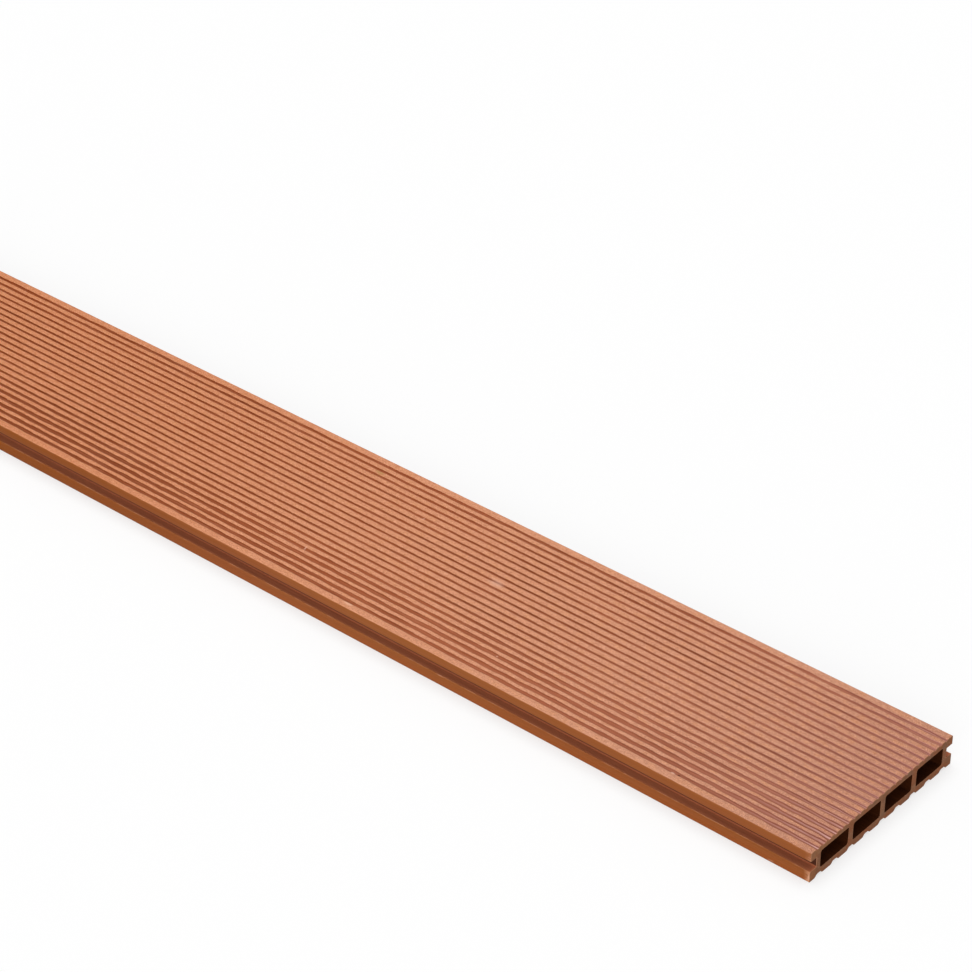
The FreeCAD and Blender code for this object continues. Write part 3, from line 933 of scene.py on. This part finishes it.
@dataclass
class DeckBoard:
    """The board: its section's lines carried along its length and closed by its two sawn ends."""

    length: float
    width: float
    thickness: float
    lower_lip: float = 8.0 * MM
    slot_height: float = 7.5 * MM
    slot_depth: float = 6.0 * MM
    lip_radius: float = 0.8 * MM
    slot_edge: float = 0.4 * MM
    foot_radius: float = 0.25 * MM
    slot_fillet: float = 0.4 * MM
    chamber_count: int = 4
    chamber_width: float = 28.05 * MM
    chamber_height: float = 13.0 * MM
    chamber_pitch: float = 32.65 * MM
    chamber_radius: float = 1.5 * MM
    bottom_skin: float = 5.0 * MM
    groove_count: int = 23
    groove_pitch: float = 6.0 * MM
    groove_depth: float = 0.8 * MM
    groove_mouth: float = 2.15 * MM
    groove_flank: float = 0.4 * MM
    ridge_edge: float = 0.25 * MM
    ridge_least: float = 0.625 * MM
    crown_drop: float = 0.03 * MM
    corner_drop: float = 0.12 * MM
    bed_sag: float = 1.04
    bed_lowest: float = 0.75
    bed_waver: float = 0.08
    bed_waves: tuple[float, ...] = (0.06, 0.15)
    edge_stray: float = 0.07 * MM
    front_stray: float = 0.13 * MM
    rear_stray: float = 0.1 * MM
    end_stray: float = 0.6
    stray_limit: float = 1.6
    stray_waves: tuple[float, ...] = (0.018, 0.03, 0.05, 0.09)
    brushed_shares: tuple[float, ...] = (1.0, 0.5, 0.08, 0.0, 0.1, 0.7, 1.0, 1.0)
    lowest_shares: tuple[float, ...] = (0.0, 0.0, 0.0, 1.0, 0.0, 0.0, 0.0, 0.0)
    front_widening: float = 1.35 * MM
    front_place: float = -54.0 * MM
    front_spread: float = 20.0 * MM
    rear_widening: float = 0.55 * MM
    rear_place: float = 70.0 * MM
    rear_spread: float = 14.0 * MM
    end_flare: float = 0.1 * MM
    end_flare_reach: float = 60.0 * MM
    rear_flare: float = 1.8
    end_tear: float = 1.1 * MM
    end_tear_reach: float = 20.0 * MM
    flute_count: int = 9
    flute_pitch: float = 16.0 * MM
    flute_mouth: float = 6.0 * MM
    flute_bed: float = 5.0 * MM
    flute_depth: float = 1.8 * MM
    flute_ease: float = 0.9 * MM
    flute_points: int = 4
    lip_points: int = 5
    fillet_points: int = 3
    lip_wear: float = 0.35
    lower_lip_wear: float = 0.7
    end_bevel: float = 0.12 * MM
    bevel_uneven: float = 1.4
    end_rim: float = 0.6 * MM
    outer_rim_shares: tuple[float, ...] = (0.4, 1.0, 0.5, 0.7)
    chamber_rim_share: float = 0.1
    chamber_stations: int = 12
    fine_length: float = 0.8
    fine_stations: int = 180
    plain_stations: int = 100
    seed: int = 17
    random: np.random.Generator = field(init=False)

    def __post_init__(self) -> None:
        """Sets up the seeded chance that the wandering edges come from."""
        self.random = np.random.default_rng(self.seed)

    def stations(self) -> Array:
        """Places along the length, close together over the fine length at the near end."""
        end = self.length / 2.0 - self.end_bevel
        turn = self.length / 2.0 - self.fine_length
        plain = np.linspace(-end, turn, self.plain_stations, endpoint=False)
        return np.concatenate([plain, np.linspace(turn, end, self.fine_stations)])

    def walking_face(self, along: Array) -> tuple[Array, Array, Array]:
        """The grooved top from rear to front.

        A groove's mouth is the plain mouth, widened by a bell curve round the front place and one
        round the rear place. Towards a sawn end its edges spread further, by an exponential of the
        distance. Its two edges wander separately, more where it is wide and near an end, and stay
        clear of the next groove. Each groove gives eight points: the rounded rear edge, the bed's
        rear end, its lowest place, which lies nearer the rear, its front end, the rounded front
        edge and the middle of the next ridge.

        Args:
            along: the places along the length.

        Returns:
            The points in (Y, Z), place by place, each point's brushed share and its share of a
            bed's lowest place.
        """
        lanes = self.groove_count
        middles = self.groove_pitch * ((lanes - 1) / 2.0 - np.arange(lanes))
        front = np.exp(-(((middles - self.front_place) / self.front_spread) ** 2))
        rear = np.exp(-(((middles - self.rear_place) / self.rear_spread) ** 2))
        mouth = self.groove_mouth + self.front_widening * front + self.rear_widening * rear
        inwards = (np.abs(along) - self.length / 2.0)[:, None]
        flare = np.exp(inwards / self.end_flare_reach)
        tear = np.exp(inwards / self.end_tear_reach)
        reach = self.edge_stray + self.front_stray * front + self.rear_stray * rear
        reach = reach * (1.0 + self.end_stray * flare)
        limit = self.stray_limit
        rear_sway = np.clip(wander(along, lanes, self.stray_waves, self.random), -limit, limit)
        front_sway = np.clip(wander(along, lanes, self.stray_waves, self.random), -limit, limit)
        rear_edge = middles + mouth / 2.0 + reach * rear_sway
        rear_edge = rear_edge + self.end_flare * flare * (1.0 + self.rear_flare * rear + front)
        front_edge = middles - mouth / 2.0 + reach * front_sway - self.end_tear * tear * front
        clear = front_edge[:, :-1] - self.ridge_least
        rear_edge[:, 1:] = np.minimum(rear_edge[:, 1:], clear)
        waver = wander(along, lanes, self.bed_waves, self.random)
        bed = self.groove_depth * (1.0 + self.bed_waver * waver)
        outer_ridge = (front_edge[:, -1:] - self.width / 2.0) / 2.0
        ridge = (front_edge[:, :-1] + rear_edge[:, 1:]) / 2.0
        across = [
            rear_edge + self.ridge_edge,
            rear_edge,
            rear_edge - self.groove_flank,
            self.bed_lowest * rear_edge + (1.0 - self.bed_lowest) * front_edge,
            front_edge + self.groove_flank,
            front_edge,
            front_edge - self.ridge_edge,
            np.concatenate([ridge, outer_ridge], axis=1),
        ]
        crown = np.full_like(bed, self.crown_drop)
        corner = np.full_like(bed, self.corner_drop)
        sunk = self.bed_sag * bed
        below = [crown, corner, bed, sunk, bed, corner, crown, np.zeros_like(bed)]
        height = self.thickness - np.stack(below, axis=2)
        line = np.stack([np.stack(across, axis=2), height], axis=3).reshape(len(along), -1, 2)
        strip = (self.width / 2.0 + middles[0] + mouth[0] / 2.0) / 2.0
        start = np.broadcast_to(np.array([strip, self.thickness]), (len(along), 1, 2))
        brushed = np.concatenate([[1.0], np.tile(self.brushed_shares, lanes)])
        lowest = np.concatenate([[0.0], np.tile(self.lowest_shares, lanes)])
        return np.concatenate([start, line], axis=1), brushed, lowest

    def front_side(self) -> tuple[Array, Array, Array]:
        """The front side from top to bottom, with each point's rim share and each edge's zone.

        It goes round the upper lip, into the clip slot and round the lower lip. The lips' corners
        are arcs, smaller ones at the slot and at the foot, and the slot's two inner corners are
        small hollow arcs. The brushing of the walking face goes halfway round the first corner.

        Returns:
            The points in (Y, Z), their rim shares, which are highest halfway round a lip's corner,
            and the zone of the edge that leaves each point.
        """
        face = -self.width / 2.0
        ceiling = self.lower_lip + self.slot_height
        fillet = self.slot_fillet
        inner = face + self.slot_depth - fillet
        top, edge, foot = self.lip_radius, self.slot_edge, self.foot_radius
        round_points, hollow_points = self.lip_points, self.fillet_points
        parts = [
            arc((face + top, self.thickness - top), top, 90.0, 180.0, round_points),
            arc((face + edge, ceiling + edge), edge, 180.0, 270.0, round_points),
            arc((inner, ceiling - fillet), fillet, 90.0, 0.0, hollow_points),
            arc((inner, self.lower_lip + fillet), fillet, 0.0, -90.0, hollow_points),
            arc((face + edge, self.lower_lip - edge), edge, 90.0, 180.0, round_points),
            arc((face + foot, foot), foot, 180.0, 270.0, round_points),
        ]
        turned = np.sin(np.pi * np.linspace(0.0, 1.0, round_points))
        lip, lower = self.lip_wear * turned, self.lower_lip_wear * turned
        rim = np.concatenate([lip, lip, np.zeros(2 * hollow_points), lower, lip])
        brushed = round_points // 2
        skin = 2 * round_points - 1 - brushed
        slot = 2 * hollow_points + 1
        counts = [brushed, skin, slot, 2 * round_points]
        kinds = [Zone.WALKING_FACE, Zone.EXTRUDED_SKIN, Zone.MILLED_SLOT, Zone.EXTRUDED_SKIN]
        return np.concatenate(parts), rim, np.repeat(np.array(kinds, int), counts)

    def underside(self) -> Array:
        """The fluted bottom from front to rear: a flute's flanks rise smoothly to its bed."""
        step = np.linspace(0.0, 1.0, self.flute_points)
        outer = self.flute_mouth / 2.0 + self.flute_ease
        inner = self.flute_bed / 2.0 - self.flute_ease
        flank = outer + (inner - outer) * step
        rise = self.flute_depth * step**2 * (3.0 - 2.0 * step)
        across = np.concatenate([-flank, flank[::-1]])
        up = np.concatenate([rise, rise[::-1]])
        middles = self.flute_pitch * (np.arange(self.flute_count) - (self.flute_count - 1) / 2.0)
        line = np.stack([middles[:, None] + across, np.tile(up, (self.flute_count, 1))], axis=2)
        return line.reshape(-1, 2)

    def chamber_line(self, middle: float) -> Array:
        """One chamber's rounded rectangle, run clockwise so that the material lies on its left.

        Args:
            middle: the chamber's middle in Y.

        Returns:
            The points in (Y, Z).
        """
        half = self.chamber_width / 2.0 - self.chamber_radius
        low = self.bottom_skin + self.chamber_radius
        high = self.bottom_skin + self.chamber_height - self.chamber_radius
        parts = [
            arc((middle - half, high), self.chamber_radius, 180.0, 90.0, 5),
            arc((middle + half, high), self.chamber_radius, 90.0, 0.0, 5),
            arc((middle + half, low), self.chamber_radius, 0.0, -90.0, 5),
            arc((middle - half, low), self.chamber_radius, -90.0, -180.0, 5),
        ]
        return np.concatenate(parts)

    def carry(self, lines: Array, along: Array) -> Array:
        """A closed line carried along the length, with two more rings on each sawn end.

        The first and last lines stop a bevel short of the ends, by an uneven amount. The next ring
        lies on the end, inset by the bevel, and the last one is inset by the rim.

        Args:
            lines: the line at each place, as (places, points, 2).
            along: the places along the length.

        Returns:
            The points as (places + 4, points, 3).
        """
        places = np.broadcast_to(along[:, None], lines.shape[:2]).copy()
        torn = self.end_bevel * self.random.uniform(0.0, self.bevel_uneven, (2, lines.shape[1]))
        places[0] = places[0] + torn[0]
        places[-1] = places[-1] - torn[1]
        sawn = self.length / 2.0
        rings = []
        for line, end in ((lines[0], -sawn), (lines[-1], sawn)):
            for depth in (self.end_rim, self.end_bevel):
                moved = inset(line, depth)
                rings.append(np.concatenate([np.full((len(line), 1), end), moved], axis=1)[None])
        body = np.concatenate([places[:, :, None], lines], axis=2)
        return np.concatenate([rings[0], rings[1], body, rings[3], rings[2]])

    def end_faces(self, rings: list[Array], numbers: list[Array]) -> Array:
        """Triangles that close a sawn end between its outer ring and its chamber rings, facing +X.

        The outer ring is filled with triangles as even as the rings allow. Those with all three
        corners on one chamber's ring lie in its opening and are left out.

        Args:
            rings: the rings on the end, the outer one first, as rows of (X, Y, Z).
            numbers: the rings' point numbers.

        Returns:
            The point numbers of each triangle.
        """
        flat = np.concatenate(rings)[:, 1:]
        starts = np.cumsum([0] + [len(ring) for ring in rings])
        loops = [np.arange(start, stop) for start, stop in zip(starts[:-1], starts[1:], strict=True)]
        edges = np.concatenate([np.stack([loop, np.roll(loop, -1)], axis=1) for loop in loops])
        places = [Vector(place) for place in flat]
        found = np.array(delaunay_2d_cdt(places, edges.tolist(), [], FILL_INSIDE, FILL_NEARNESS)[2])
        owner = np.repeat(np.arange(len(rings)), [len(ring) for ring in rings])[found]
        found = found[(owner[:, 0] == 0) | (owner != owner[:, :1]).any(axis=1)]
        first, second, third = (flat[found[:, corner]] for corner in range(3))
        one, two = second - first, third - first
        turn = one[:, 0] * two[:, 1] - one[:, 1] * two[:, 0]
        found = np.where((turn > 0.0)[:, None], found, found[:, ::-1])
        return np.concatenate(numbers)[found]

    def build(self) -> bpy.types.Object:
        """The board's mesh: the outer skin, the chambers and the sawn ends, joined point to point.

        Returns:
            The object, with its zones as material numbers and its brushed, bed and rim shares kept.
        """
        along = self.stations()
        top, top_brushed, top_lowest = self.walking_face(along)
        front, front_rim, front_zone = self.front_side()
        bottom = self.underside()
        rear = front[::-1] * np.array([-1.0, 1.0])
        fixed = np.concatenate([front, bottom, rear])
        outer = np.concatenate([top, np.broadcast_to(fixed, (len(along), *fixed.shape))], axis=1)
        counts = [len(top_brushed), len(front), len(bottom), len(rear)]
        brushed = np.concatenate([top_brushed, np.zeros(len(fixed))])
        lowest = np.concatenate([top_lowest, np.zeros(len(fixed))])
        top_rim, bottom_rim = np.zeros(len(top_brushed)), np.zeros(len(bottom))
        rim = np.concatenate([top_rim, front_rim, bottom_rim, front_rim[::-1]])
        walking = int(Zone.WALKING_FACE)
        rear_zone = np.append(front_zone[:-1][::-1], walking)
        skin = np.full(len(bottom), int(Zone.EXTRUDED_SKIN))
        zone = np.concatenate([np.full(len(top_brushed), walking), front_zone, skin, rear_zone])
        brushed[(zone == walking) & (np.arange(len(zone)) >= len(top_brushed))] = 1.0
        brushed[len(top_brushed) + self.lip_points // 2] = 1.0

        order = np.arange(self.chamber_count) - (self.chamber_count - 1) / 2.0
        sections = [self.chamber_line(self.chamber_pitch * place) for place in order]
        plain = np.zeros(len(sections[0]))
        chamber_places = np.linspace(along[0], along[-1], self.chamber_stations)
        grids = [self.carry(outer, along)]
        for line in sections:
            tube = np.broadcast_to(line, (self.chamber_stations, *line.shape))
            grids.append(self.carry(tube, chamber_places))
        outer_torn = np.repeat(self.outer_rim_shares, counts)
        outer_set = (zone, brushed, lowest, rim, outer_torn)
        chamber_torn = plain + self.chamber_rim_share
        chamber_set = (plain + int(Zone.CHAMBER), plain, plain, plain, chamber_torn)
        sets = [outer_set] + [chamber_set] * len(sections)

        quads, materials, brushed_values, bed_values, rim_values = [], [], [], [], []
        near, near_numbers, far, far_numbers = [], [], [], []
        first = 0
        for grid, (own_zone, share, bed, own_rim, torn) in zip(grids, sets, strict=True):
            rows, columns = grid.shape[:2]
            quads.append(carried_faces(rows, columns, first))
            strips = np.tile(own_zone, (rows - 1, 1))
            strips[[0, 1, -2, -1]] = Zone.SAWN_END
            materials.append(strips.ravel())
            brushed_values.append(np.tile(share, rows))
            bed_values.append(np.tile(bed, rows))
            edge = np.tile(own_rim, (rows, 1))
            edge[[1, 2, -3, -2]] = torn
            edge[[0, -1]] = 0.0
            rim_values.append(edge.ravel())
            count = np.arange(columns)
            far.append(grid[0])
            far_numbers.append(first + count)
            near.append(grid[-1])
            near_numbers.append(first + (rows - 1) * columns + count)
            first += rows * columns
        ends = [self.end_faces(near, near_numbers), self.end_faces(far, far_numbers)[:, ::-1]]
        triangles = np.concatenate(ends)
        points = np.concatenate([grid.reshape(-1, 3) for grid in grids])
        mesh = make_mesh("board_skin", points, np.concatenate(quads), triangles)
        numbers = np.concatenate([*materials, np.full(len(triangles), int(Zone.SAWN_END))])
        mesh.polygons.foreach_set("material_index", numbers.astype(np.int32))
        keep_values(mesh, "brushed", np.concatenate(brushed_values))
        keep_values(mesh, "bed", np.concatenate(bed_values))
        keep_values(mesh, "rim", np.concatenate(rim_values))
        return show("board_skin", mesh)

    def dress(self, board: bpy.types.Object, effects: EffectLibrary) -> None:
        """Gives each zone its finish, in the zones' order.

        Args:
            board: the board's object.
            effects: the shared effects.
        """
        finishes = {
            Zone.WALKING_FACE: WalkingFaceFinish(self.length / 2.0),
            Zone.EXTRUDED_SKIN: ExtrudedSkinFinish(self.length / 2.0),
            Zone.SAWN_END: SawnEndFinish(),
            Zone.CHAMBER: ChamberFinish(),
            Zone.MILLED_SLOT: MilledSlotFinish(),
        }
        for zone in Zone:
            board.data.materials.append(finishes[zone].make(effects))


@dataclass
class PaperLabel:
    """A blank paper label on the walking face, just inside the far end and the rear edge."""

    far_end: float
    rear_edge: float
    face: float
    length: float = 100.0 * MM
    width: float = 88.0 * MM
    thickness: float = 0.15 * MM
    lift: float = 0.18 * MM
    margin: float = 0.5 * MM
    groove_pitch: float = 6.0 * MM
    sag: float = 0.08 * MM
    curl: float = 1.2 * MM
    curl_reach: float = 14.0 * MM
    rows: int = 60
    columns: int = 89

    def build(self) -> bpy.types.Object:
        """The label's mesh, a thin closed sheet.

        Its height is the face plus its lift, less a cosine sag over each groove, plus a curl at the
        corner nearest the middle of the board that grows with the square of the nearness to it.

        Returns:
            The object.
        """
        along = self.far_end + self.margin + np.linspace(0.0, self.length, self.rows)
        start = self.rear_edge - self.margin - self.width
        across = start + np.linspace(0.0, self.width, self.columns)
        x, y = np.meshgrid(along, across, indexing="ij")
        sag = self.sag * (0.5 + 0.5 * np.cos(2.0 * np.pi * y / self.groove_pitch))
        away = np.hypot(along[-1] - x, y - across[0])
        curl = self.curl * np.clip(1.0 - away / self.curl_reach, 0.0, None) ** 2
        upper = self.face + self.lift - sag + curl
        top = np.stack([x, y, upper], axis=2)
        under = np.stack([x, y, upper - self.thickness], axis=2)
        grid = np.concatenate([top[:, ::-1], under], axis=1)
        columns = 2 * self.columns
        quads = carried_faces(self.rows, columns, 0)
        left = np.arange(self.columns - 1)
        right = columns - 1 - left
        end = np.stack([left, right, right - 1, left + 1], axis=1)
        quads = np.concatenate([quads, end, (self.rows - 1) * columns + end[:, ::-1]])
        mesh = make_mesh("paper_label", grid.reshape(-1, 3), quads, np.zeros((0, 3), int))
        return show("paper_label", mesh)

    def dress(self, label: bpy.types.Object, effects: EffectLibrary) -> None:
        """Gives the label its paper finish."""
        label.data.materials.append(LabelPaperFinish().make(effects))


@dataclass
class Studio:
    """The floor, the soft light and the camera, placed from the foot of the near end's middle."""

    near_end: float
    sky: float = 0.3
    key: float = 0.57
    key_spread: float = 45.0
    fill: float = 0.58
    fill_spread: float = 50.0
    floor_colour: float = 0.5
    floor_seen: float = 0.35
    floor_glow: float = 0.65
    floor_size: float = 60.0
    floor_gap: float = 0.2 * MM
    key_from: tuple[float, float, float] = (-0.1, 0.15, 1.0)
    fill_from: tuple[float, float, float] = (0.5, -0.85, 0.2)
    nearest_seen: float = 0.05
    farthest_seen: float = 100.0
    azimuth: float = 41.182
    elevation: float = 33.8275
    roll: float = -0.19
    focal_pixels: float = 3112.68
    camera_place: tuple[float, float, float] = (0.76735, -1.2356, 1.20454)

    def seen_share(self, wiring: Wiring) -> Socket:
        """1 for what the camera, a reflection or glass sees, and 0 for light that falls on things.

        Args:
            wiring: the wiring of the world or the material that asks.

        Returns:
            The share's socket.
        """
        rays = wiring.place("ShaderNodeLightPath").outputs
        seen = wiring.math("MAXIMUM", rays["Is Camera Ray"], rays["Is Glossy Ray"])
        return wiring.math("MAXIMUM", seen, rays["Is Transmission Ray"])

    def light(self) -> None:
        """A white surround that lights softly, a broad key from above and a low front fill."""
        world = bpy.data.worlds.new("soft_surround")
        world.use_nodes = True
        bpy.context.scene.world = world
        wiring = Wiring(world.node_tree)
        background = world.node_tree.nodes["Background"]
        background.inputs["Color"].default_value = (1.0, 1.0, 1.0, 1.0)
        strength = wiring.ramp(self.seen_share(wiring), 0.0, 1.0, self.sky, 1.0)
        wiring.feed(background.inputs["Strength"], strength)
        self.lamp("key_light", self.key_from, self.key, self.key_spread)
        self.lamp("front_fill", self.fill_from, self.fill, self.fill_spread)

    def lamp(
        self, name: str, towards: tuple[float, float, float], level: float, spread: float
    ) -> None:
        """A distant soft lamp.

        Args:
            name: the lamp's name.
            towards: the direction in which the lamp lies, seen from the board.
            level: how bright it makes a white face that looks at it, with 1 as white.
            spread: the lamp's breadth in degrees.
        """
        light = bpy.data.lights.new(name, "SUN")
        light.angle = math.radians(spread)
        light.energy = math.pi * level
        lamp = bpy.data.objects.new(name, light)
        lamp.matrix_world = Vector(towards).to_track_quat("Z", "Y").to_matrix().to_4x4()
        bpy.context.scene.collection.objects.link(lamp)

    def floor(self) -> bpy.types.Object:
        """A pale floor just under the board, which keeps the board's shadow.

        Returns:
            The floor's object.
        """
        side = self.floor_size / 2.0 * np.array([-1.0, 1.0])
        x, y = np.meshgrid(side, side, indexing="ij")
        points = np.stack([x.ravel(), y.ravel(), np.full(4, -self.floor_gap)], axis=1)
        mesh = make_mesh("studio_floor", points, np.array([[0, 2, 3, 1]]), np.zeros((0, 3), int))
        material, wiring, shader = open_material("studio_floor")
        seen = self.seen_share(wiring)
        grey = wiring.ramp(seen, 0.0, 1.0, self.floor_colour, self.floor_seen)
        wiring.feed(shader.inputs["Base Color"], grey)
        shader.inputs["Roughness"].default_value = 1.0
        shader.inputs["Specular IOR Level"].default_value = 0.0
        shader.inputs["Emission Color"].default_value = (1.0, 1.0, 1.0, 1.0)
        glow = wiring.math("MULTIPLY", seen, self.floor_glow)
        wiring.feed(shader.inputs["Emission Strength"], glow)
        mesh.materials.append(material)
        floor = show("studio_floor", mesh)
        return floor

    def camera(self) -> None:
        """The camera, turned by azimuth, elevation and roll, its focal length in picture pixels."""
        azimuth, elevation = math.radians(self.azimuth), math.radians(self.elevation)
        back = Vector(
            (
                math.sin(azimuth) * math.cos(elevation),
                -math.cos(azimuth) * math.cos(elevation),
                math.sin(elevation),
            )
        )
        turn = (-back).to_track_quat("-Z", "Y").to_matrix().to_4x4()
        data = bpy.data.cameras.new("picture_camera")
        data.lens = data.sensor_width * self.focal_pixels / PICTURE_PIXELS
        data.clip_start = self.nearest_seen
        data.clip_end = self.farthest_seen
        camera = bpy.data.objects.new("picture_camera", data)
        place = Vector((self.near_end, 0.0, 0.0)) + Vector(self.camera_place)
        roll = Matrix.Rotation(math.radians(self.roll), 4, "Z")
        camera.matrix_world = Matrix.Translation(place) @ turn @ roll
        bpy.context.scene.collection.objects.link(camera)
        bpy.context.scene.camera = camera


def main() -> None:
    """Builds the board, its label and the studio."""
    logging.basicConfig(level=logging.INFO, format="%(name)s: %(message)s")
    bpy.context.scene.view_settings.view_transform = "Standard"
    low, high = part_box(CAD_NODE)
    effects = EffectLibrary()

    deck = DeckBoard(high.x - low.x, high.y - low.y, high.z - low.z)
    board = deck.build()
    deck.dress(board, effects)
    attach(board, BODY)
    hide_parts(CAD_NODE)
    LOG.info("%s: %d faces", board.name, len(board.data.polygons))

    paper = PaperLabel(low.x, high.y, high.z)
    label = paper.build()
    paper.dress(label, effects)
    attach(label, BODY)
    LOG.info("%s: %d faces", label.name, len(label.data.polygons))

    studio = Studio(high.x)
    studio.light()
    floor = studio.floor()
    studio.camera()
    LOG.info("%s: stage", floor.name)


if __name__ == "__main__":
    main()
